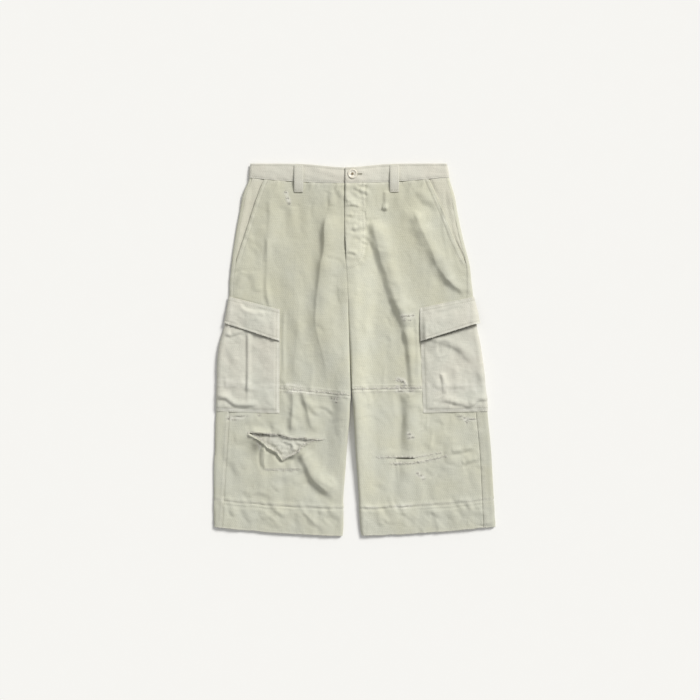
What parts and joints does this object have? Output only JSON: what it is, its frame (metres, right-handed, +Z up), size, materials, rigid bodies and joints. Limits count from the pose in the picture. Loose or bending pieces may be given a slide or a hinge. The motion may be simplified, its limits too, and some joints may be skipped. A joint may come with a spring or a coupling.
{
  "type": "cropped cargo trousers",
  "caption": "Cropped wide-leg cargo trousers in pale sage cotton twill, laid flat front up, with flapped side pockets, slanted hip pockets, belt loops and a ripped lower leg.",
  "frame": {"origin": "middle of the laid-out garment's outline, on the surface that it lies on", "axes": "+Y from the hems to the waist, +X towards the wearer's left leg, +Z up from the surface through the back to the front"},
  "size_m": [0.5894, 0.7815, 0.0135],
  "materials": {
    "twill": "garment-washed matt cotton twill, pale sage",
    "facing": "the same twill, a little warmer and cleaner where it is covered",
    "button": "satin moulded resin, four-hole"
  },
  "bodies": {
    "root": {"front_right": "twill", "front_left": "twill", "lower_front_right": "twill", "lower_front_left": "twill", "back_right": "twill", "back_left": "twill", "waistband": "twill", "pocket_facing_right": "facing", "pocket_facing_left": "facing", "cargo_pocket_right": "twill", "cargo_pocket_left": "twill", "cargo_flap_right": "twill", "cargo_flap_left": "twill", "fly_shield": "facing", "rip_patch_right": "facing", "belt_loop_front_right": "twill", "belt_loop_front_left": "twill", "belt_loop_back_right": "twill", "belt_loop_back_centre": "twill", "belt_loop_back_left": "twill", "button": "button"}
  },
  "joints": []
}
